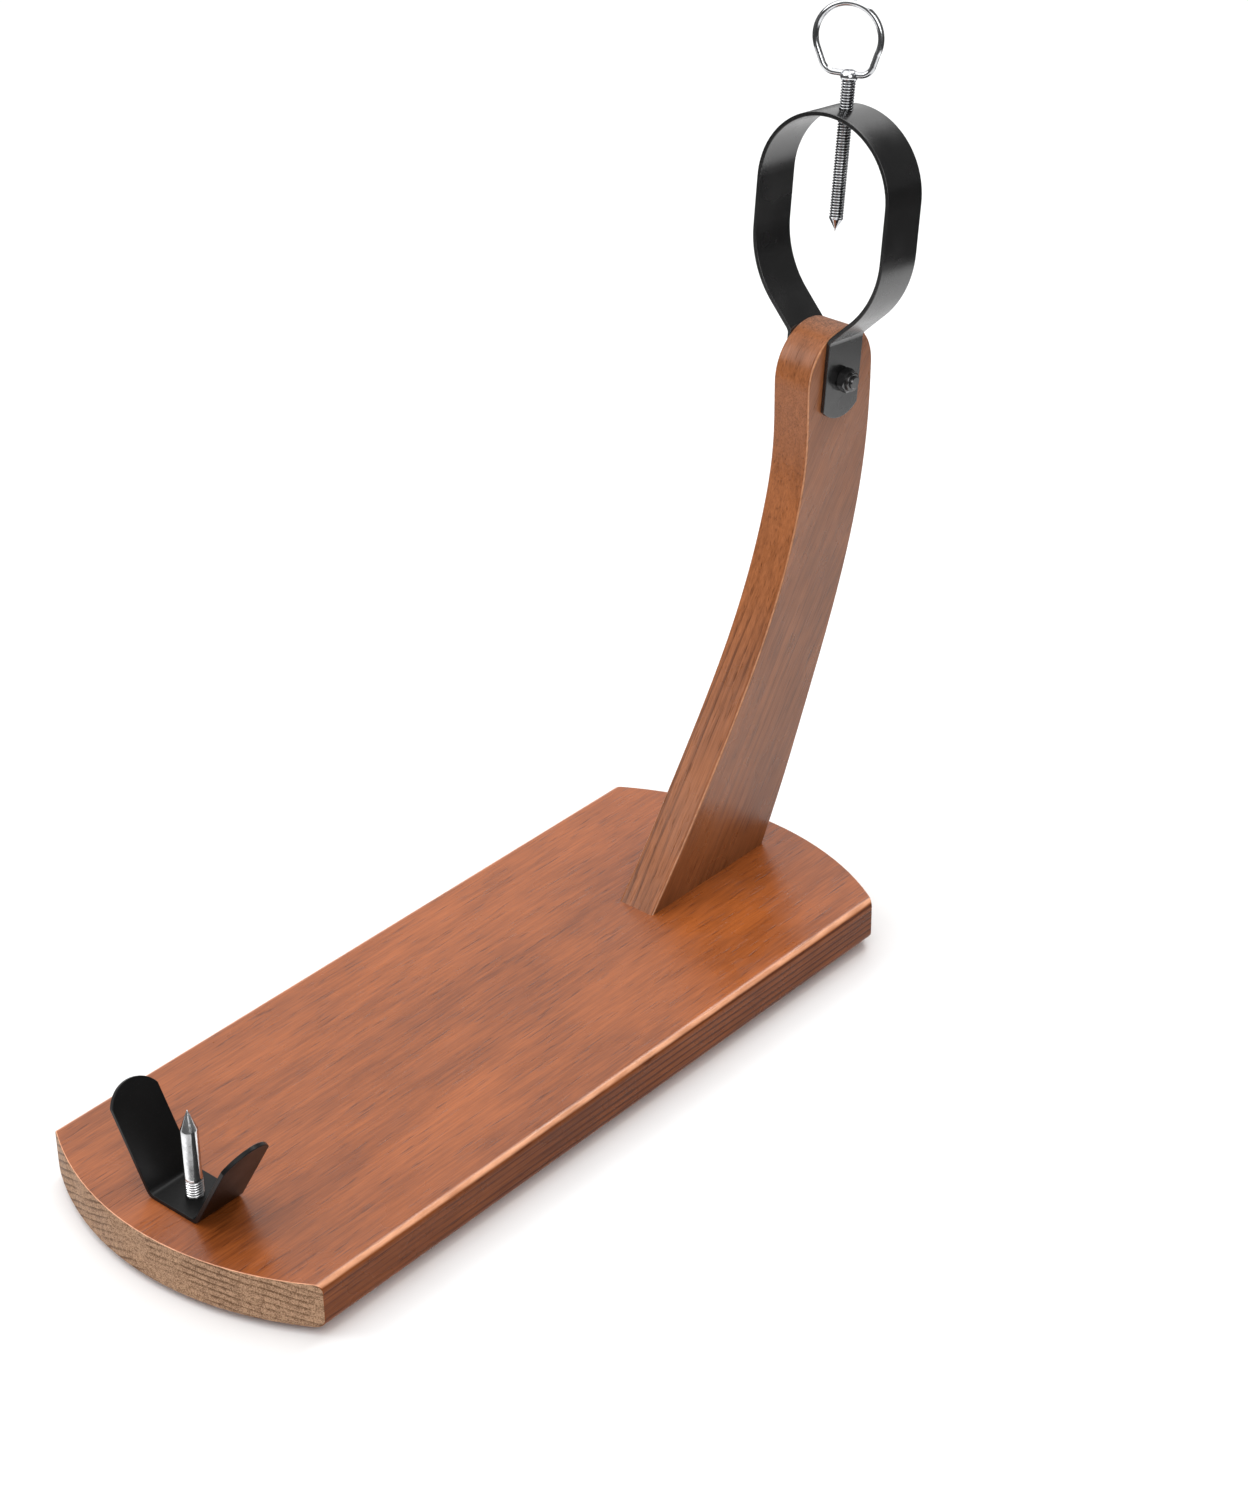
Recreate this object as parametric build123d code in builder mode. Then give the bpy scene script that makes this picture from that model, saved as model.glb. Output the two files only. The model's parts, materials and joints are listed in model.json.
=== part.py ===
"""Ham holder stand: a wooden board and curved column, a tilting steel hoop with a clamp screw that
grips the shank, and a V-shaped cradle with a spike that holds the other end of the ham.

Millimetres. The origin is on the ground under the middle of the whole stand, which reaches further
than its board because the column leans out over it. +X runs from the cradle end to the column end,
+Y to the side of the pivot bolt's head, and +Z is up.
"""

import os
from math import atan2, cos, degrees, radians, sin, tan

from build123d import *

os.makedirs("parts", exist_ok=True)

# ---- Driving dimensions ----

# Board
board_x = -29.5  # its middle
board_length = 408
board_width = 160
board_thick = 22
end_bow = 24  # how far each bowed end stands out past its corners
long_edge_round = 4
eased_edge = 0.6

# Feet
foot_height = 4
foot_radius = 10
foot_taper = 1.5  # how much narrower a foot is on the ground
foot_x = 150  # from the board's middle
foot_y = 58

# Column: an S-curved plank on edge in the board's middle plane, with its heights above the board
column_thick = 20
column_front = 74.5  # front of its foot
column_back = 156.5
column_top_x = 208.9
column_top_height = 225  # centre of the round top
column_top_radius = 23.8
front_curve = ((125.5, 66), (164.5, 129), (182, 178.5))  # (x, height) on the way up
front_shoulder = 212  # where the front runs straight up into the round top
front_foot_direction = (0.64, 0.77)
back_curve = ((230, 182), (217, 130), (187, 60))  # on the way down
back_foot_direction = (-0.5, -0.866)
column_easing = 1.2

# Hoop: a flat bar bent in one plane, which stands on the pivot and leans back by tilt
pivot_x = 207.9
pivot_height = 225
tilt = 6.2
strip_width = 25
strip_thick = 2
strip_easing = 0.3
hoop_radius = 36.5  # outside of the round top
hoop_top = 122.1  # outside of the top, above the pivot
hoop_side = 22.8  # straight length between the round top and the arms
arm_radius = 46
arm_angle = 45  # how far the arms turn in from upright before they run straight to the column
arm_bend_radius = 3.5
ear_gap = 0.1  # between an ear and the column
ear_end = 18.5  # lowest point of an ear, below the pivot
ear_end_bow = 5

# Clamp screw, with heights measured from the pivot up the hoop's lean
screw_radius = 3.175
screw_pitch = 1.27
screw_clearance = 0.07
screw_foot = 72.4
screw_top = 136
point_length = 6.2
needle_length = 1.6
needle_radius = 0.55
needle_tip_radius = 0.12
wire_radius = 1.4
loop_base = 137.6  # the wire's flat bottom, on its centre line
loop_height = 30.9
loop_half_width = 13.8
loop_side_height = 10
loop_corner = 10.2  # half width where the sides would meet the flat bottom
loop_corner_radius = 6
loop_mouth = 0.6  # half the gap between the wire's two ends
loop_turn = 19  # how far the loop is turned from square to the hoop
loop_shift = 2  # how far its round top stands to one side
weld_radius = 3.9
weld_foot = 134.8
weld_height = 4.2

# Cradle and spike
cradle_x = -203.25
cradle_base = 28.5
wing_lean = 29
wing_length = 47.5
wing_end_bow = 7.5
wing_bend_radius = 3
spike_radius = 4
spike_pitch = 1.25
spike_shank_radius = 3.7
spike_thread_top = 10.5  # above the board
spike_shoulder = 34.5
spike_tip = 44
spike_tip_radius = 0.2

# Fasteners
flat_circle = 0.95  # the round flat on a hexagon's end, as a share of its width across flats
bolt_radius = 3
bolt_clearance = 0.1
bolt_end = 1.1  # beyond the nut
bolt_tip_chamfer = 0.5
bolt_head_height = 4
m6_hexagon = 10
m6_washer_radius = 6
m6_washer_thick = 1.6
m6_washer_chamfer = 0.3
lock_nut_height = 6
lock_nut_hexagon_height = 4.2
collar_radius = 4.5
nylon_radius = 3.9
nylon_height = 1.5
collar_rounding = 0.6
nut_turn = 8
m8_hexagon = 13
m8_nut_height = 6.5
m8_washer_radius = 8
m8_washer_thick = 1.6
spike_end = 1  # beyond its nut
counterbore_radius = 10
counterbore_depth = 9
wood_screw_radius = 2.5
wood_screw_head_radius = 5
wood_screw_length = 60
wood_screw_x = (112.5, 140.5)
wood_screw_point = 6
foot_screw_radius = 1.75
foot_screw_head_radius = 3.5
foot_screw_head_height = 1.2
foot_screw_length = 14
foot_screw_point = 4
foot_floor = 1.6  # rubber between the screw's head and the board
contact_gap = 0.05  # between pieces that turn on one another, and around a screw in its own hole

# ---- Places that follow from them ----

board_top = foot_height + board_thick
half_column = column_thick / 2
ear_outside = half_column + ear_gap + strip_thick
pivot = Vector(pivot_x, 0, board_top + pivot_height)
up_hoop = Vector(sin(radians(tilt)), 0, cos(radians(tilt)))
across_hoop = Vector(cos(radians(tilt)), 0, -sin(radians(tilt)))
front_view = Plane(origin=pivot, x_dir=(0, 1, 0), z_dir=across_hoop)  # x is +Y, y runs up the hoop
side_view = Plane(origin=pivot, x_dir=across_hoop, z_dir=(0, -1, 0))  # y runs up the hoop
screw_line = Axis(pivot, up_hoop)
spike_line = Axis((cradle_x, 0, 0), (0, 0, 1))
cradle_view = Plane(origin=(cradle_x, 0, board_top), x_dir=(0, 1, 0), z_dir=(1, 0, 0))
underside = Plane(origin=(board_x, 0, foot_height))
foot_taper_angle = degrees(atan2(foot_taper, foot_height))
foot_places = [(board_x + x, y) for x in (-foot_x, foot_x) for y in (-foot_y, foot_y)]


def save(piece, name):
    """Label a finished piece and write its file."""
    piece.label = name
    export_step(piece, f"parts/{name}.step")


def ring_thread(outer, pitch, low, high):
    """Outline points (radius, height) of a thread cut as plain rings, from the bottom up."""
    crest = pitch / 8
    root = pitch / 6
    flank = (pitch - crest - root) / 2
    root_radius = outer - flank / tan(radians(30))
    points = []
    for turn in range(int((high - low) / pitch)):
        start = low + turn * pitch
        points += [(outer, start), (outer, start + crest)]
        points += [(root_radius, start + crest + flank), (root_radius, start + crest + flank + root)]
    points.append((outer, start + pitch))
    return points


def hexagon_body(plane, across_flats, height, turn=0):
    """A nut or bolt head's body on a plane, with its corners turned off at 30 degrees."""
    corner_radius = across_flats / 2 / cos(radians(30))
    corner_cut = corner_radius - across_flats / 2 * flat_circle
    with BuildPart() as body:
        with BuildSketch(plane):
            Circle(corner_radius)
        extrude(amount=height)
        for end in body.faces().filter_by(GeomType.PLANE):
            chamfer(end.edges(), corner_cut, corner_cut * tan(radians(30)), reference=end)
        with BuildSketch(plane):
            RegularPolygon(across_flats / 2, 6, major_radius=False, rotation=turn)
        extrude(amount=height, mode=Mode.INTERSECT)
    return body.part


# ---- Board, column and the screws that join them ----

half_straight = board_length / 2 - end_bow
half_width = board_width / 2

with BuildPart() as base_board:
    with BuildSketch(underside):
        with BuildLine():
            Line((-half_straight, -half_width), (half_straight, -half_width))
            ThreePointArc(
                (half_straight, -half_width), (board_length / 2, 0), (half_straight, half_width)
            )
            Line((half_straight, half_width), (-half_straight, half_width))
            ThreePointArc(
                (-half_straight, half_width), (-board_length / 2, 0), (-half_straight, -half_width)
            )
        make_face()
    extrude(amount=board_thick)
    fillet(base_board.edges().filter_by(Axis.X), long_edge_round)
    flat_faces = base_board.faces().filter_by(Axis.Z)
    fillet(flat_faces.edges().filter_by(GeomType.CIRCLE), eased_edge)
    # The spike's hole, with room beneath for its washer and nut
    with Locations((cradle_x, 0, foot_height)):
        Cylinder(
            spike_radius + contact_gap,
            board_thick,
            align=(Align.CENTER, Align.CENTER, Align.MIN),
            mode=Mode.SUBTRACT,
        )
        Cylinder(
            counterbore_radius,
            counterbore_depth,
            align=(Align.CENTER, Align.CENTER, Align.MIN),
            mode=Mode.SUBTRACT,
        )
    # Countersunk holes for the column's screws
    for x in wood_screw_x:
        with Locations(Plane(origin=(x, 0, foot_height), z_dir=(0, 0, -1))):
            CounterSinkHole(
                wood_screw_radius + contact_gap,
                wood_screw_head_radius + contact_gap,
                board_thick,
                90,
            )
    # Blind holes for the screws of the feet
    with Locations(*[(x, y, foot_height) for x, y in foot_places]):
        Cylinder(
            foot_screw_radius + contact_gap,
            foot_screw_length,
            align=(Align.CENTER, Align.CENTER, Align.MIN),
            mode=Mode.SUBTRACT,
        )
save(base_board.part, "base_board")

top_centre = board_top + column_top_height
with BuildPart() as column:
    with BuildSketch(Plane.XZ):
        with BuildLine():
            front = Spline(
                (column_front, board_top),
                *[(x, board_top + height) for x, height in front_curve],
                (column_top_x - column_top_radius, board_top + front_shoulder),
                tangents=[front_foot_direction, (0, 1)],
            )
            Line(front @ 1, (column_top_x - column_top_radius, top_centre))
            ThreePointArc(
                (column_top_x - column_top_radius, top_centre),
                (column_top_x, top_centre + column_top_radius),
                (column_top_x + column_top_radius, top_centre),
            )
            back = Spline(
                (column_top_x + column_top_radius, top_centre),
                *[(x, board_top + height) for x, height in back_curve],
                (column_back, board_top),
                tangents=[(0, -1), back_foot_direction],
            )
            Line(back @ 1, front @ 0)
        make_face()
    extrude(amount=half_column, both=True)
    side_faces = column.faces().filter_by(Axis.Y)
    foot_face = column.faces().sort_by(Axis.Z)[0]
    fillet(
        [edge for edge in side_faces.edges() if edge not in foot_face.edges()], column_easing
    )
    with BuildSketch(side_view):
        Circle(bolt_radius + bolt_clearance)
    extrude(amount=half_column, both=True, mode=Mode.SUBTRACT)
    screw_reach = foot_height + wood_screw_length
    with BuildSketch(Plane.XY.offset(board_top)):
        with Locations(*[(x, 0) for x in wood_screw_x]):
            Circle(wood_screw_radius + contact_gap)
    extrude(amount=screw_reach - board_top + contact_gap, mode=Mode.SUBTRACT)
save(column.part, "column")

with BuildPart() as column_screws:
    for x in wood_screw_x:
        with BuildSketch(Plane(origin=(x, 0, foot_height), x_dir=(1, 0, 0), z_dir=(0, -1, 0))):
            with BuildLine():
                Polyline(
                    (0, 0),
                    (wood_screw_head_radius, 0),
                    (wood_screw_radius, wood_screw_head_radius - wood_screw_radius),
                    (wood_screw_radius, wood_screw_length - wood_screw_point),
                    (0, wood_screw_length),
                    close=True,
                )
            make_face()
        revolve(axis=Axis((x, 0, 0), (0, 0, 1)))
save(column_screws.part, "column_screws")


# ---- Hoop and its pivot ----

arm_turn = radians(arm_angle)
arm_centre = hoop_top - hoop_radius - hoop_side
arm_start = (
    hoop_radius - arm_radius * (1 - cos(arm_turn)),
    arm_centre - arm_radius * sin(arm_turn),
)
bend_height = arm_start[1] - (arm_start[0] - ear_outside) / tan(arm_turn)

with BuildPart() as hoop:
    with BuildSketch(front_view):
        with BuildLine():
            outside = FilletPolyline(
                (ear_outside, -ear_end), (ear_outside, bend_height), arm_start, radius=arm_bend_radius
            )
            arm = JernArc(arm_start, (sin(arm_turn), cos(arm_turn)), arm_radius, arm_angle)
            side = Line(arm @ 1, (hoop_radius, hoop_top - hoop_radius))
            ThreePointArc(side @ 1, (0, hoop_top), (-hoop_radius, hoop_top - hoop_radius))
            mirror(side, about=Plane.YZ)
            mirror(arm, about=Plane.YZ)
            mirror(outside, about=Plane.YZ)
            offset(amount=strip_thick, side=Side.LEFT)
        make_face()
    extrude(amount=strip_width / 2, both=True)
    # Round the ears' lower ends
    ear_corner = ear_end_bow - ear_end
    with BuildSketch(side_view):
        with BuildLine():
            ThreePointArc((-strip_width / 2, ear_corner), (0, -ear_end), (strip_width / 2, ear_corner))
            Polyline(
                (strip_width / 2, ear_corner),
                (strip_width / 2, hoop_top),
                (-strip_width / 2, hoop_top),
                (-strip_width / 2, ear_corner),
            )
        make_face()
    extrude(amount=hoop_radius, both=True, mode=Mode.INTERSECT)
    fillet(hoop.edges(), strip_easing)
    with BuildSketch(side_view):
        Circle(bolt_radius + bolt_clearance)
    extrude(amount=hoop_radius, both=True, mode=Mode.SUBTRACT)
    with BuildSketch(Plane(origin=pivot + up_hoop * hoop_top, z_dir=up_hoop)):
        Circle(screw_radius + screw_clearance)
    extrude(amount=2 * strip_thick, both=True, mode=Mode.SUBTRACT)
save(hoop.part, "hoop")

washer_face = ear_outside + contact_gap
head_face = washer_face + m6_washer_thick
nut_outside = washer_face + lock_nut_height
washer_plane = Plane(origin=(pivot_x, washer_face, pivot.Z), x_dir=(1, 0, 0), z_dir=(0, 1, 0))
head_plane = Plane(origin=(pivot_x, head_face, pivot.Z), x_dir=(1, 0, 0), z_dir=(0, 1, 0))
nut_plane = Plane(origin=(pivot_x, -washer_face, pivot.Z), x_dir=(1, 0, 0), z_dir=(0, -1, 0))

bolt_head = hexagon_body(head_plane, m6_hexagon, bolt_head_height)
with BuildPart() as pivot_bolt:
    add(bolt_head)
    with BuildSketch(head_plane):
        Circle(bolt_radius)
    extrude(amount=-(head_face + nut_outside + bolt_end))
    bolt_tip = pivot_bolt.faces().sort_by(Axis.Y)[0]
    chamfer(bolt_tip.edges(), bolt_tip_chamfer)
save(pivot_bolt.part, "pivot_bolt")

with BuildPart() as pivot_washer:
    with BuildSketch(washer_plane):
        Circle(m6_washer_radius)
        Circle(bolt_radius + bolt_clearance, mode=Mode.SUBTRACT)
    extrude(amount=m6_washer_thick)
    chamfer(pivot_washer.edges().group_by(Axis.Y)[-1].sort_by(SortBy.RADIUS)[-1], m6_washer_chamfer)
save(pivot_washer.part, "pivot_washer")

# The lock nut's collar is rolled over a nylon ring
nylon_seat = lock_nut_hexagon_height
nut_hexagon = hexagon_body(nut_plane, m6_hexagon, lock_nut_hexagon_height, nut_turn)
with BuildPart() as pivot_lock_nut:
    add(nut_hexagon)
    with BuildSketch(nut_plane):
        Circle(collar_radius)
    extrude(amount=lock_nut_height)
    collar_end = pivot_lock_nut.faces().sort_by(Axis.Y)[0]
    fillet(collar_end.edges(), collar_rounding)
    with BuildSketch(nut_plane):
        Circle(bolt_radius + contact_gap)
    extrude(amount=lock_nut_height, mode=Mode.SUBTRACT)
    with BuildSketch(nut_plane.offset(nylon_seat)):
        Circle(nylon_radius)
    extrude(amount=nylon_height, mode=Mode.SUBTRACT)
save(pivot_lock_nut.part, "pivot_lock_nut")

with BuildPart() as lock_nut_ring:
    with BuildSketch(nut_plane.offset(nylon_seat)):
        Circle(nylon_radius)
        Circle(bolt_radius + contact_gap, mode=Mode.SUBTRACT)
    extrude(amount=nylon_height)
save(lock_nut_ring.part, "lock_nut_ring")


# ---- Clamp screw ----

with BuildPart() as clamp_screw:
    with BuildSketch(side_view):
        with BuildLine():
            thread = ring_thread(screw_radius, screw_pitch, screw_foot, weld_foot)
            Polyline((0, screw_foot), *thread, (screw_radius, screw_top), (0, screw_top), close=True)
        make_face()
    revolve(axis=screw_line)
save(clamp_screw.part, "clamp_screw")

needle_foot = screw_foot - point_length + needle_length
with BuildPart() as screw_point:
    with BuildSketch(side_view):
        with BuildLine():
            Polyline(
                (0, screw_foot),
                (screw_radius, screw_foot),
                (needle_radius, needle_foot),
                (needle_tip_radius, screw_foot - point_length),
                (0, screw_foot - point_length),
                close=True,
            )
        make_face()
    revolve(axis=screw_line)
save(screw_point.part, "screw_point")

# The loop stands over the screw's end, turned about it and a little crooked, as it was welded on
loop_turned = radians(loop_turn)
loop_width = across_hoop * sin(loop_turned) - Vector(0, 1, 0) * cos(loop_turned)
loop_plane = Plane(
    origin=pivot + up_hoop * loop_base, x_dir=loop_width, z_dir=loop_width.cross(up_hoop)
)
with BuildPart() as screw_loop:
    with BuildLine(loop_plane) as wire:
        for side in (-1, 1):
            FilletPolyline(
                (side * loop_mouth, 0),
                (side * loop_corner - loop_shift / 2, 0),
                (side * loop_half_width - loop_shift, loop_side_height),
                radius=loop_corner_radius,
            )
        ThreePointArc(
            (-loop_half_width - loop_shift, loop_side_height),
            (-loop_shift, loop_height),
            (loop_half_width - loop_shift, loop_side_height),
        )
    with BuildSketch(Plane(origin=wire.line @ 0, z_dir=wire.line % 0)):
        Circle(wire_radius)
    sweep(path=wire.line)
save(screw_loop.part, "screw_loop")

with BuildPart() as loop_weld:
    with BuildSketch(side_view):
        with BuildLine():
            Line((0, weld_foot), (screw_radius, weld_foot))
            ThreePointArc(
                (screw_radius, weld_foot),
                (weld_radius, weld_foot + weld_height / 3),
                (0, weld_foot + weld_height),
            )
            Line((0, weld_foot + weld_height), (0, weld_foot))
        make_face()
    revolve(axis=screw_line)
    add(clamp_screw.part, mode=Mode.SUBTRACT)
    add(screw_loop.part, mode=Mode.SUBTRACT)
save(loop_weld.part, "loop_weld")


# ---- Cradle and spike ----

lean = radians(wing_lean)
wing_foot = (cradle_base / 2, 0)
wing_end = (cradle_base / 2 + wing_length * sin(lean), wing_length * cos(lean))
wing_plane = Plane(
    origin=(cradle_x, wing_foot[0], board_top), x_dir=(1, 0, 0), z_dir=(0, -cos(lean), sin(lean))
)
with BuildPart() as cradle_bracket:
    with BuildSketch(cradle_view):
        with BuildLine():
            FilletPolyline((0, 0), wing_foot, wing_end, radius=wing_bend_radius + strip_thick)
            offset(amount=strip_thick, side=Side.LEFT)
        make_face()
    extrude(amount=strip_width / 2, both=True)
    # Round the wing's upper end
    with BuildSketch(wing_plane):
        with BuildLine():
            end_corner = wing_length - wing_end_bow
            ThreePointArc(
                (-strip_width / 2, end_corner), (0, wing_length), (strip_width / 2, end_corner)
            )
            Polyline(
                (strip_width / 2, end_corner),
                (strip_width / 2, -cradle_base),
                (-strip_width / 2, -cradle_base),
                (-strip_width / 2, end_corner),
            )
        make_face()
    extrude(amount=cradle_base, both=True, mode=Mode.INTERSECT)
    mirror(about=Plane.XZ)
    fillet(cradle_bracket.edges(), strip_easing)
    with BuildSketch(Plane.XY.offset(board_top)):
        with Locations((cradle_x, 0)):
            Circle(spike_radius + contact_gap)
    extrude(amount=strip_thick, mode=Mode.SUBTRACT)
save(cradle_bracket.part, "cradle_bracket")

spike_foot = foot_height + counterbore_depth - m8_washer_thick - m8_nut_height - spike_end
with BuildPart() as spike:
    with BuildSketch(Plane.XZ):
        with BuildLine():
            low = spike_foot
            high = board_top + spike_thread_top
            outline = [(0, low)] + ring_thread(spike_radius, spike_pitch, low, high)
            outline += [
                (spike_shank_radius, high),
                (spike_shank_radius, board_top + spike_shoulder),
                (spike_tip_radius, board_top + spike_tip),
                (0, board_top + spike_tip),
            ]
            Polyline(*[(cradle_x + radius, height) for radius, height in outline], close=True)
        make_face()
    revolve(axis=spike_line)
save(spike.part, "spike")

washer_top = foot_height + counterbore_depth
with BuildPart() as spike_washer:
    with BuildSketch(Plane(origin=(cradle_x, 0, washer_top), z_dir=(0, 0, -1))):
        Circle(m8_washer_radius)
        Circle(spike_radius + contact_gap, mode=Mode.SUBTRACT)
    extrude(amount=m8_washer_thick)
save(spike_washer.part, "spike_washer")

spike_nut_plane = Plane(origin=(cradle_x, 0, washer_top - m8_washer_thick), z_dir=(0, 0, -1))
spike_nut_body = hexagon_body(spike_nut_plane, m8_hexagon, m8_nut_height)
with BuildPart() as spike_nut:
    add(spike_nut_body)
    with BuildSketch(spike_nut_plane):
        Circle(spike_radius + contact_gap)
    extrude(amount=m8_nut_height, mode=Mode.SUBTRACT)
save(spike_nut.part, "spike_nut")


# ---- Feet ----

head_seat = foot_height - foot_floor
with BuildPart() as rubber_feet:
    with BuildSketch(Plane.XY):
        with Locations(*foot_places):
            Circle(foot_radius - foot_taper)
    extrude(amount=foot_height, taper=-foot_taper_angle)
    with BuildSketch(Plane.XY):
        with Locations(*foot_places):
            Circle(foot_screw_head_radius + contact_gap)
    extrude(amount=head_seat, mode=Mode.SUBTRACT)
    with BuildSketch(Plane.XY):
        with Locations(*foot_places):
            Circle(foot_screw_radius + contact_gap)
    extrude(amount=foot_height, mode=Mode.SUBTRACT)
save(rubber_feet.part, "rubber_feet")

with BuildPart() as foot_screws:
    for x, y in foot_places:
        with BuildSketch(Plane(origin=(x, y, head_seat), x_dir=(1, 0, 0), z_dir=(0, -1, 0))):
            with BuildLine():
                Polyline(
                    (0, -foot_screw_head_height),
                    (foot_screw_head_radius, -foot_screw_head_height),
                    (foot_screw_head_radius, 0),
                    (foot_screw_radius, 0),
                    (foot_screw_radius, foot_screw_length - foot_screw_point),
                    (0, foot_screw_length),
                    close=True,
                )
            make_face()
        revolve(axis=Axis((x, y, 0), (0, 0, 1)))
save(foot_screws.part, "foot_screws")
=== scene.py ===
"""Looks for the ham holder stand: stained pine, black painted strip, zinc and bright turned steel.

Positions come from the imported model's nodes and its record. Metres, in the model's own frame.
"""

import json
import math

import bmesh
import bpy
from mathutils import Euler, Matrix, Vector


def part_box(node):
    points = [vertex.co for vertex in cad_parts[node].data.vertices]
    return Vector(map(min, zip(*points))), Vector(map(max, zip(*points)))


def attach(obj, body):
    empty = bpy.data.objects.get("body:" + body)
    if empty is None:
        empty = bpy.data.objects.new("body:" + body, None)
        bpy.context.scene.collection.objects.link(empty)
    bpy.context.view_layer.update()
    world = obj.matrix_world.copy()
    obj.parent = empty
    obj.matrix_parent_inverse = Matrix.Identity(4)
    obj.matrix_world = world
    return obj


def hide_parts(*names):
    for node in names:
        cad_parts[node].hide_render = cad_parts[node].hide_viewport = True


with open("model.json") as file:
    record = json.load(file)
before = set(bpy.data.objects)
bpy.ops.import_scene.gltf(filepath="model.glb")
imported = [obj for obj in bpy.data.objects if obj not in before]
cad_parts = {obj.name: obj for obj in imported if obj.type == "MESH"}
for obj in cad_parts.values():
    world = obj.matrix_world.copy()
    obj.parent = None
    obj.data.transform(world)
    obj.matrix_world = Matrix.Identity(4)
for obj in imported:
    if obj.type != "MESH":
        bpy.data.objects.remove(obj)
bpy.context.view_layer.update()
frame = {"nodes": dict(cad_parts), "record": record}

nodes = frame["nodes"]
behaviour = frame["record"]["behaviour"]
joints = {joint["name"]: joint for joint in behaviour["joints"]}

# ---- Places taken from the model ----

pivot = Vector(joints["hoop_tilt"]["pos_m"])
up_hoop = Vector(joints["clamp_turn"]["axis"]).normalized()
screw_low, screw_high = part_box("clamp_screw")
spike_low, spike_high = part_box("spike")
spike_centre = (spike_low + spike_high) / 2
board_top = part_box("base_board")[1].z


# ---- Shader helpers ----


class NodeTree:
    """A node tree, with a short call for each kind of node that the scene uses."""

    def __init__(self, tree):
        self.tree = tree
        self.tree.nodes.clear()

    def node(self, kind, inputs=None, **settings):
        """A node of a kind, with its settings and with its inputs given as values or as sockets."""
        made = self.tree.nodes.new(kind)
        for name, value in settings.items():
            setattr(made, name, value)
        for name, value in (inputs or {}).items():
            self.feed(made.inputs[name], value)
        return made

    def feed(self, socket, value):
        """Give an input socket a value or another node's output."""
        if isinstance(value, bpy.types.NodeSocket):
            self.tree.links.new(value, socket)
        else:
            socket.default_value = value

    def number(self, operation, *values, clamp=False):
        """One arithmetic step on one to three numbers."""
        made = self.node(
            "ShaderNodeMath", dict(enumerate(values)), operation=operation, use_clamp=clamp
        )
        return made.outputs[0]

    def vector(self, operation, *values):
        """One arithmetic step on vectors."""
        made = self.node("ShaderNodeVectorMath", dict(enumerate(values)), operation=operation)
        gives_number = operation in ("LENGTH", "DOT_PRODUCT")
        return made.outputs["Value" if gives_number else "Vector"]

    def span(self, value, low, high, to_low=0.0, to_high=1.0):
        """A number carried smoothly from one range to another and held at its ends."""
        inputs = {"Value": value, "From Min": low, "From Max": high}
        inputs.update({"To Min": to_low, "To Max": to_high})
        return self.node("ShaderNodeMapRange", inputs, interpolation_type="SMOOTHSTEP").outputs[0]

    def weighed(self, *parts):
        """The sum of (weight, number) parts."""
        total = 0.0
        for weight, number in parts:
            total = self.number("MULTIPLY_ADD", number, weight, total)
        return total


class Shader(NodeTree):
    """A material with one principled surface. Its textures lie in the piece's own frame."""

    def __init__(self, name):
        self.material = bpy.data.materials.new(name)
        self.material.use_nodes = True
        super().__init__(self.material.node_tree)
        self.surface = self.node("ShaderNodeBsdfPrincipled")
        self.node("ShaderNodeOutputMaterial", {"Surface": self.surface.outputs["BSDF"]})
        coordinates = self.node("ShaderNodeTexCoord").outputs
        self.place = coordinates["Object"]
        self.normal = coordinates["Normal"]

    def set(self, **values):
        """Inputs of the surface, with spaces in their names written as underscores."""
        for name, value in values.items():
            self.feed(self.surface.inputs[name.replace("_", " ")], value)

    def bump(self, height, distance, strength):
        """Small relief in the surface, distance metres deep."""
        inputs = {"Height": height, "Distance": distance, "Strength": strength}
        self.set(Normal=self.node("ShaderNodeBump", inputs).outputs[0])

    def noise(self, frequency, detail=2.0, roughness=0.5, place=None):
        """Smooth noise from 0 to 1, with frequency giving changes per metre along each axis."""
        where = self.vector("MULTIPLY", place or self.place, frequency)
        inputs = {"Vector": where, "Scale": 1.0, "Detail": detail, "Roughness": roughness}
        return self.node("ShaderNodeTexNoise", inputs).outputs[0]

    def mix(self, share, first, second):
        """Two colours mixed."""
        made = self.node("ShaderNodeMix", data_type="RGBA")
        self.feed(made.inputs["Factor"], share)
        self.feed(made.inputs[6], first)
        self.feed(made.inputs[7], second)
        return made.outputs[2]

    def scaled(self, colour, share):
        """A colour made darker or lighter."""
        made = self.node("ShaderNodeVectorMath", {0: colour, "Scale": share}, operation="SCALE")
        return made.outputs[0]


def grey(level):
    """An opaque grey."""
    return (level, level, level, 1)


# ---- Wood ----


def growth_rings(shader, grain, pith, ring_gap, rings_up_to):
    """Dark late wood, from 0 to 1: rings around the pith that waver slowly along the grain."""
    waver_width = 2.4 * ring_gap
    fade_height = 0.09
    across = shader.vector("SUBTRACT", grain, (0, *pith))
    across = shader.vector("MULTIPLY", across, (0, 1, 1))
    waver = shader.noise((2.2, 16, 16), detail=3, place=grain)
    radius = shader.number("MULTIPLY_ADD", waver, waver_width, shader.vector("LENGTH", across))
    ring = shader.number("FRACT", shader.number("DIVIDE", radius, ring_gap))
    late_wood = shader.number("MULTIPLY", shader.span(ring, 0.5, 0.9), shader.span(ring, 1.0, 0.93))
    patches = shader.span(shader.noise((5, 40, 40), place=grain), 0.34, 0.6)
    late_wood = shader.number("MULTIPLY", late_wood, patches)
    height = shader.node("ShaderNodeSeparateXYZ", {0: shader.place}).outputs[2]
    below = shader.span(height, rings_up_to, rings_up_to - fade_height)
    return shader.number("MULTIPLY", late_wood, below)


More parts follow.
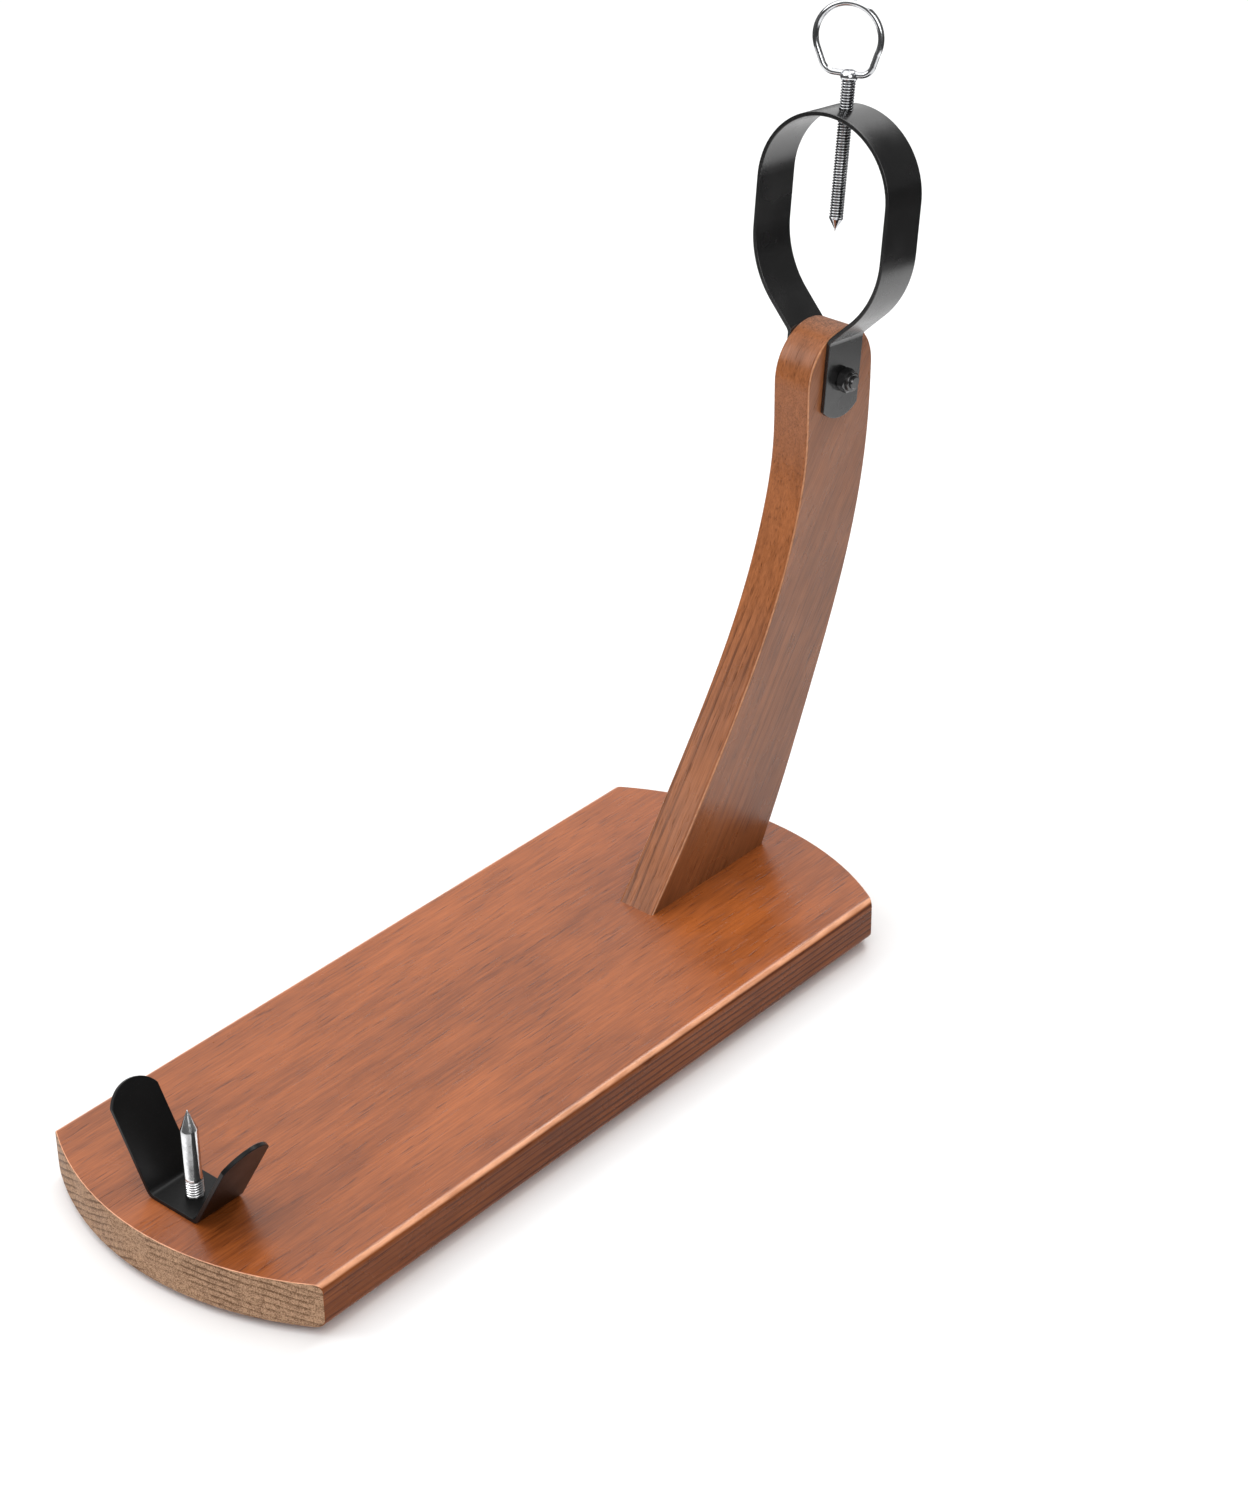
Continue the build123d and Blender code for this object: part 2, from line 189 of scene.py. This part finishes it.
def fibres(shader, grain):
    """The finest fibres, and a tone from dark to light of streaks and of uneven stain."""
    fine = shader.noise((45, 1300, 1300), detail=3, roughness=0.65, place=grain)
    streak = shader.noise((16, 330, 330), detail=3, roughness=0.6, place=grain)
    cloud = shader.noise((16, 46, 46), detail=4, roughness=0.65, place=grain)
    blotch = shader.noise((6, 14, 14), place=grain)
    tone = shader.weighed(
        (0.34, shader.span(fine, 0.3, 0.7)),
        (0.2, shader.span(streak, 0.28, 0.72)),
        (0.28, shader.span(cloud, 0.3, 0.7)),
        (0.18, shader.span(blotch, 0.34, 0.66)),
    )
    return fine, tone


def end_wood(shader, grain, late_wood, ring_strength, tones):
    """The pores of a cut end, and its colour: rings with pores between them."""
    pores = shader.noise((700, 1700, 1700), detail=3, roughness=0.7, place=grain)
    ray = shader.noise((60, 420, 420), place=grain)
    grit = shader.weighed((0.7, shader.span(pores, 0.34, 0.62)), (0.3, shader.span(ray, 0.3, 0.7)))
    rings = shader.number("MULTIPLY", late_wood, ring_strength)
    tone = shader.number("SUBTRACT", grit, rings, clamp=True)
    return pores, shader.mix(tone, *tones)


def rubbed_and_highlit_edges(shader, flank):
    """How much the edges are lightened, from 0 to 1, partly rubbed stain and partly a painted
    highlight: most of it on the edges of the broad faces.
    """
    edge = shader.number("MULTIPLY", shader.span(flank, 0.45, 0.75), shader.span(flank, 0.99, 0.88))
    unevenness = shader.span(shader.noise((80, 400, 400), detail=3), 0.3, 0.7, 0.55, 0.95)
    return shader.number("MULTIPLY", edge, unevenness)


def wood(
    name,
    grain_turn,
    pith,
    ring_gap,
    ring_strengths,
    rings_up_to,
    face_tones,
    narrow_painted_shading,
    narrow_gloss,
    end_tones,
    broad_axis,
    edge_wear_and_highlight_tone,
):
    """Stained, varnished softwood with its grain along local X of a frame turned by grain_turn.

    pith is the rings' centre line as (y, z) in that frame, and the rings fade out near the height
    rings_up_to. The broad faces are square to broad_axis. ring_strengths is how strongly rings
    show on the (narrow, broad, cut end) faces. narrow_painted_shading is painted shading: the
    narrow faces' brightness beside the broad ones, darker below 1 and lighter above 1.
    narrow_gloss is how much varnish the narrow faces have. Tones are (dark, light), and the
    rounded edges beside the broad faces are lightened to edge_wear_and_highlight_tone, partly
    stain rubbed off and partly a painted highlight.
    """
    shader = Shader(name)
    turn = Euler([math.radians(angle) for angle in grain_turn])
    inputs = {"Vector": shader.place, "Rotation": turn}
    grain = shader.node("ShaderNodeMapping", inputs, vector_type="TEXTURE").outputs[0]
    late_wood = growth_rings(shader, grain, pith, ring_gap, rings_up_to)
    narrow_rings, broad_rings, end_rings = ring_strengths
    fine, fibre_tone = fibres(shader, grain)
    pores, end_colour = end_wood(shader, grain, late_wood, end_rings, end_tones)

    # How much a face lies along the broad faces, and how much it cuts the grain
    flank = shader.number("ABSOLUTE", shader.vector("DOT_PRODUCT", shader.normal, broad_axis))
    broad = shader.span(flank, 0.3, 0.8)
    grain_axis = turn.to_matrix() @ Vector((1, 0, 0))
    across = shader.number("ABSOLUTE", shader.vector("DOT_PRODUCT", shader.normal, grain_axis))
    cut_end = shader.span(across, 0.42, 0.8)

    # Rings, and short dark dashes where pores were cut along their length
    strength = shader.span(broad, 0, 1, narrow_rings, broad_rings)
    strength = shader.number("MULTIPLY", strength, shader.span(across, 0.34, 0.1))
    rings = shader.number("MULTIPLY", late_wood, strength)
    dash = shader.span(shader.noise((70, 1100, 1100), detail=1, place=grain), 0.6, 0.74)
    darker = shader.weighed((1, rings), (0.4, dash))
    tone = shader.number("SUBTRACT", fibre_tone, darker, clamp=True)
    face = shader.mix(tone, *face_tones)
    # Painted shading: the narrow faces made darker or lighter than the broad ones
    face = shader.scaled(face, shader.span(broad, 0, 1, narrow_painted_shading, 1))

    colour = shader.mix(cut_end, face, end_colour)
    # The rounded edges are lightened: partly stain rubbed thin, partly a painted highlight
    colour = shader.mix(rubbed_and_highlit_edges(shader, flank), colour, edge_wear_and_highlight_tone)

    # Varnish over the broad faces, thin on the narrow ones and rough on the ends
    smudge = shader.noise((40, 60, 60), detail=3, place=grain)
    sheen = shader.span(smudge, 0.3, 0.7, 0.24, 0.36)
    shader.set(
        Base_Color=colour,
        Roughness=shader.number("MULTIPLY_ADD", cut_end, 0.3, sheen),
        Specular_IOR_Level=shader.span(broad, 0, 1, narrow_gloss, 0.5),
    )
    pits = shader.number("MULTIPLY", pores, cut_end)
    relief = shader.weighed((2.5, pits), (0.6, fine), (-1, rings), (-1, dash))
    shader.bump(relief, distance=0.00011, strength=0.5)
    return shader.material


# ---- Paint, metal and rubber ----


def painted(name, shade, low_rough, high_rough, gloss):
    """Black paint or blacking: a faint orange-peel skin, and a sheen that changes a little."""
    dusted = 0.1  # how much of the pale dust shows where it lies
    shader = Shader(name)
    patch = shader.noise((45, 45, 45), detail=4)
    speck = shader.noise((1800, 1800, 1800), roughness=0.6)
    colour = shader.mix(
        patch, (shade, shade, shade * 1.04, 1), (shade * 1.7, shade * 1.65, shade * 1.65, 1)
    )
    dust = shader.span(speck, 0.62, 0.8, 0, dusted)
    shader.set(
        Base_Color=shader.mix(dust, colour, grey(0.2)),
        Roughness=shader.span(patch, 0.3, 0.7, low_rough, high_rough),
        Specular_IOR_Level=gloss,
    )
    shader.bump(speck, distance=0.00004, strength=0.35)
    return shader.material


def metal(name, tint, low_rough, high_rough, mark_frequency, mark_depth):
    """Bare or plated metal, with fine tool marks and with painted shade in a thread's groove."""
    shader = Shader(name)
    marks = shader.noise(mark_frequency, detail=3, roughness=0.6)
    cloud = shader.noise((120, 120, 120), detail=3)
    dull_share = 0.72  # of the tint's brightness, where the surface is clouded
    dull = tuple(channel * dull_share for channel in tint[:3]) + (1,)
    colour = shader.mix(shader.span(cloud, 0.35, 0.7), tint, dull)
    groove_depth = shader.node("ShaderNodeAttribute", attribute_name="groove").outputs["Fac"]
    # Painted shade: darker towards the root of a thread's groove
    colour = shader.mix(shader.span(groove_depth, 0.35, 1, 0, 0.8), colour, grey(0.03))
    shader.set(
        Metallic=1.0,
        Base_Color=colour,
        Specular_Tint=(0.2, 0.2, 0.22, 1),
        Roughness=shader.span(marks, 0.3, 0.7, low_rough, high_rough),
    )
    shader.bump(marks, distance=mark_depth, strength=0.5)
    return shader.material


def moulded(name, shade, rough):
    """Matt rubber or nylon with a fine moulded texture."""
    shader = Shader(name)
    grit = shader.noise((1400, 1400, 1400), detail=3, roughness=0.7)
    cloud = shader.noise((60, 60, 60))
    shader.set(
        Base_Color=shader.mix(cloud, grey(shade), grey(shade * 1.6)),
        Roughness=shader.span(grit, 0.3, 0.7, rough - 0.1, rough + 0.1),
    )
    shader.bump(grit, distance=0.00008, strength=0.5)
    return shader.material


# ---- Finishes of the pieces ----

board_wood = wood(
    "board_wood",
    grain_turn=(0, 0, 0),
    pith=(-0.03, -0.13),
    ring_gap=0.0032,
    ring_strengths=(1.0, 0.06, 0.7),
    rings_up_to=1,
    face_tones=((0.14, 0.032, 0.006, 1), (0.43, 0.115, 0.024, 1)),
    # painted shade: the narrow sides darker than the top
    narrow_painted_shading=0.62,
    narrow_gloss=0.14,
    end_tones=((0.13, 0.065, 0.034, 1), (0.52, 0.32, 0.195, 1)),
    broad_axis=(0, 0, 1),
    # partly rubbed stain, partly a painted highlight
    edge_wear_and_highlight_tone=(0.86, 0.42, 0.24, 1),
)
# The column's plank was sawn with the grain along the lower half of its front
column_wood = wood(
    "column_wood",
    grain_turn=(0, -54, 0),
    pith=(0.085, 0.01),
    ring_gap=0.0036,
    ring_strengths=(0.6, 0.25, 0.05),
    rings_up_to=0.2,
    face_tones=((0.12, 0.037, 0.011, 1), (0.37, 0.13, 0.047, 1)),
    # painted light: the narrow front lighter than the sides
    narrow_painted_shading=1.12,
    narrow_gloss=0.28,
    end_tones=((0.05, 0.022, 0.011, 1), (0.38, 0.15, 0.07, 1)),
    broad_axis=(0, 1, 0),
    # partly rubbed stain, partly a painted highlight
    edge_wear_and_highlight_tone=(0.6, 0.27, 0.13, 1),
)
black_paint = painted("black_paint", shade=0.005, low_rough=0.21, high_rough=0.3, gloss=1.0)
cradle_paint = painted("cradle_paint", shade=0.003, low_rough=0.3, high_rough=0.4, gloss=0.2)
black_steel = painted("black_steel", shade=0.012, low_rough=0.1, high_rough=0.18, gloss=1.0)
zinc = metal(
    "zinc",
    tint=(0.76, 0.77, 0.79, 1),
    low_rough=0.1,
    high_rough=0.2,
    mark_frequency=(900, 900, 120),
    mark_depth=0.00001,
)
bright_steel = metal(
    "bright_steel",
    tint=(0.93, 0.93, 0.94, 1),
    low_rough=0.12,
    high_rough=0.2,
    mark_frequency=(60, 60, 900),
    mark_depth=0.000001,
)
plain_steel = metal(
    "plain_steel",
    tint=(0.62, 0.62, 0.6, 1),
    low_rough=0.25,
    high_rough=0.45,
    mark_frequency=(500, 500, 500),
    mark_depth=0.00003,
)
rubber = moulded("rubber", shade=0.02, rough=0.75)
nylon = moulded("nylon", shade=0.03, rough=0.5)

finish_of = {
    "base_board": board_wood,
    "column": column_wood,
    "hoop": black_paint,
    "cradle_bracket": cradle_paint,
    "pivot_bolt": black_steel,
    "pivot_washer": black_steel,
    "pivot_lock_nut": black_steel,
    "lock_nut_ring": nylon,
    "clamp_screw": zinc,
    "screw_point": zinc,
    "screw_loop": zinc,
    "loop_weld": zinc,
    "spike": bright_steel,
    "spike_washer": plain_steel,
    "spike_nut": plain_steel,
    "column_screws": plain_steel,
    "foot_screws": plain_steel,
    "rubber_feet": rubber,
}
for name, piece in nodes.items():
    piece.data.materials.clear()
    piece.data.materials.append(finish_of[name])

# ---- Screw threads: real helices in place of the model's plain rings ----

thread_sides = 40
steps_per_pitch = 10
thread_depth = 0.5  # of the pitch, a little less than a sharp thread because its crests are rolled


def outline_radius(outline, height):
    """The radius at a height of an outline made of straight lines."""
    for (low, low_radius), (high, high_radius) in zip(outline, outline[1:]):
        if low <= height <= high:
            share = (height - low) / (high - low)
            return low_radius + (high_radius - low_radius) * share
    return outline[-1][1]


def groove(phase):
    """Depth of a thread's groove, from 0 on its crest to 1 at its root, over one pitch."""
    crest, root = 0.18, 0.14
    slope = (1 - crest - root) / 2
    if phase < crest:
        return 0
    if phase < crest + slope:
        return (phase - crest) / slope
    if phase < crest + slope + root:
        return 1
    return (1 - phase) / slope


def threaded_piece(name, outline, thread_low, thread_high, pitch, foot, axis):
    """A turned metal piece about an axis. outline lists (height, radius) from the foot up, and
    a helix is cut between two heights. Its mesh keeps how deep each point lies in the groove."""
    steps = round((thread_high - thread_low) / pitch * steps_per_pitch)
    step_height = (thread_high - thread_low) / steps
    heights = [height for height, _ in outline]
    heights += [thread_low + step_height * step for step in range(1, steps)]
    heights.sort()

    mesh = bmesh.new()
    rings = []
    groove_depths = []
    for height in heights:
        ring = []
        for side in range(thread_sides):
            turn = side / thread_sides
            depth = 0
            if thread_low <= height <= thread_high:
                run_out = min(1, (height - thread_low) / pitch, (thread_high - height) / pitch)
                depth = run_out * groove((height / pitch - turn) % 1)
            groove_depths.append(depth)
            radius = outline_radius(outline, height) - depth * pitch * thread_depth
            angle = math.tau * turn
            ring.append(mesh.verts.new((math.cos(angle) * radius, math.sin(angle) * radius, height)))
        rings.append(ring)
    for below, above in zip(rings, rings[1:]):
        for side in range(thread_sides):
            after = (side + 1) % thread_sides
            wall = mesh.faces.new((below[side], below[after], above[after], above[side]))
            wall.smooth = True
    mesh.faces.new(list(reversed(rings[0])))
    mesh.faces.new(rings[-1])

    data = bpy.data.meshes.new(name)
    mesh.to_mesh(data)
    mesh.free()
    data.attributes.new("groove", "FLOAT", "POINT").data.foreach_set("value", groove_depths)
    turn = Vector((0, 0, 1)).rotation_difference(axis).to_matrix().to_4x4()
    data.transform(Matrix.Translation(foot) @ turn)
    piece = bpy.data.objects.new(name, data)
    bpy.context.scene.collection.objects.link(piece)
    return piece


def replace_node(piece, node, body):
    """Show a piece in place of a node, with its finish, on its body and in its material slot."""
    piece.data.materials.append(finish_of[node])
    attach(piece, body)
    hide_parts(node)


screw_radius = (screw_high.y - screw_low.y) / 2
screw_chamfer = 0.0003
screw_pitch = math.tau / behaviour["couplings"][0]["ratio"]
lean = math.atan2(up_hoop.x, up_hoop.z)
lean_rise = screw_radius * math.sin(lean)  # from the middle of an end to its highest point
screw_foot = (screw_low.z + lean_rise - pivot.z) / math.cos(lean)
screw_top = (screw_high.z - lean_rise - pivot.z) / math.cos(lean)
screw_outline = [
    (screw_foot, screw_radius - screw_chamfer),
    (screw_foot + screw_chamfer, screw_radius),
    (screw_top, screw_radius),
]
threaded_screw = threaded_piece(
    "threaded_screw", screw_outline, screw_foot, screw_top, screw_pitch, pivot, up_hoop
)
replace_node(threaded_screw, "clamp_screw", "screw_body")

spike_radius = (spike_high.x - spike_low.x) / 2
spike_pitch = 0.00125
spike_chamfer = 0.0004
shank_radius = spike_radius - 0.0003
thread_top = board_top + 0.0105
shoulder = spike_high.z - 0.0095  # where the cone begins
shoulder_ease = 0.0002
shoulder_drop = 0.00025
tip_height = 0.0003
tip_radius = 0.0003
tip_end_radius = 0.00008
spike_outline = [
    (spike_low.z, spike_radius - spike_chamfer),
    (spike_low.z + spike_chamfer, spike_radius),
    (thread_top, spike_radius),
    (thread_top + spike_chamfer, shank_radius),
    (shoulder - shoulder_ease, shank_radius),
    (shoulder + shoulder_ease, shank_radius - shoulder_drop),
    (spike_high.z - tip_height, tip_radius),
    (spike_high.z, tip_end_radius),
]
spike_foot = Vector((spike_centre.x, spike_centre.y, 0))
threaded_spike = threaded_piece(
    "threaded_spike",
    spike_outline,
    spike_low.z,
    thread_top,
    spike_pitch,
    spike_foot,
    Vector((0, 0, 1)),
)
replace_node(threaded_spike, "spike", "frame")

# ---- Floor ----

# The floor is pale everywhere, but mirrored in paint and metal it ends like a studio table
floor_size = 14
floor_drop = 0.0002  # keeps it clear of the feet
table_radius = 0.73
table_blur = 0.08
floor_paint = Shader("floor")
table_end = floor_paint.vector("LENGTH", floor_paint.place)
table_end = floor_paint.span(table_end, table_radius, table_radius + table_blur)
mirrored = floor_paint.node("ShaderNodeLightPath").outputs["Is Glossy Ray"]
unlit = floor_paint.number("MULTIPLY", table_end, mirrored)
floor_colour = floor_paint.mix(floor_paint.noise((30, 30, 30), detail=3), grey(0.86), grey(0.9))
floor_paint.set(Base_Color=floor_paint.mix(unlit, floor_colour, grey(0.015)), Roughness=0.8)
bpy.ops.mesh.primitive_plane_add(size=floor_size, location=(0, 0, -floor_drop))
floor = bpy.context.object
floor.name = "floor"
floor.data.materials.append(floor_paint.material)

# ---- Lights ----


def soft_light(name, toward, distance, size, power):
    """A square soft box that faces the stand's middle from the side that toward points to."""
    middle = Vector((0.05, 0, 0.15))
    data = bpy.data.lights.new(name, "AREA")
    data.shape = "SQUARE"
    data.size = size
    data.energy = power
    light = bpy.data.objects.new(name, data)
    bpy.context.scene.collection.objects.link(light)
    light.location = middle + Vector(toward) * distance
    light.rotation_euler = Vector(toward).to_track_quat("Z", "Y").to_euler()


soft_light("left_light", toward=(-0.49, 0.56, 0.63), distance=2, size=0.9, power=7)
soft_light("back_light", toward=(0.62, 0.02, 0.78), distance=2, size=0.7, power=12)
soft_light("front_light", toward=(-0.45, -0.75, 0.55), distance=1.45, size=0.9, power=8.5)

top_light_data = bpy.data.lights.new("top_light", "SUN")
top_light_data.energy = 2.5
top_light_data.angle = math.radians(92)
top_light = bpy.data.objects.new("top_light", top_light_data)
bpy.context.scene.collection.objects.link(top_light)
top_light.rotation_euler = (math.radians(-16), math.radians(-14), 0)

# Around the floor it is white wherever the camera looks. What the stand mirrors is a white
# backdrop behind it, and a dim room elsewhere
backdrop_direction = Vector((0.72, 0.62, 0.3)).normalized()
backdrop_light = 1.1
room_light = 0.13
world = bpy.data.worlds.new("studio")
world.use_nodes = True
bpy.context.scene.world = world
studio = NodeTree(world.node_tree)
aim = studio.node("ShaderNodeTexCoord").outputs["Generated"]
aim = studio.vector("DOT_PRODUCT", aim, backdrop_direction)
mirrored_light = studio.span(aim, 0.74, 0.95, room_light, backdrop_light)
seen = studio.node("ShaderNodeLightPath").outputs["Is Camera Ray"]
strength = studio.number("MAXIMUM", mirrored_light, seen)
background = studio.node("ShaderNodeBackground", {"Color": grey(1), "Strength": strength})
studio.node("ShaderNodeOutputWorld", {"Surface": background.outputs[0]})

# ---- Camera: to the left of the cradle end, looking down along the board ----

camera_place = Vector((-0.8859, -0.8274, 0.8646))
look_turn = 0.856  # radians from +Y towards +X
look_down = 0.536
roll = -0.011
forward = Vector(
    (
        math.sin(look_turn) * math.cos(look_down),
        math.cos(look_turn) * math.cos(look_down),
        -math.sin(look_down),
    )
)
level_right = Vector((math.cos(look_turn), -math.sin(look_turn), 0))
level_up = level_right.cross(forward)
right = level_right * math.cos(roll) + level_up * math.sin(roll)
up = level_up * math.cos(roll) - level_right * math.sin(roll)
camera_turn = Matrix((right, up, -forward)).transposed().to_4x4()
camera_data = bpy.data.cameras.new("camera")
camera_data.sensor_width = 36
camera_data.lens = 78.453
camera_data.clip_start = 0.01
camera = bpy.data.objects.new("camera", camera_data)
bpy.context.scene.collection.objects.link(camera)
camera.matrix_world = Matrix.Translation(camera_place) @ camera_turn
bpy.context.scene.camera = camera
bpy.context.scene.view_settings.view_transform = "Standard"
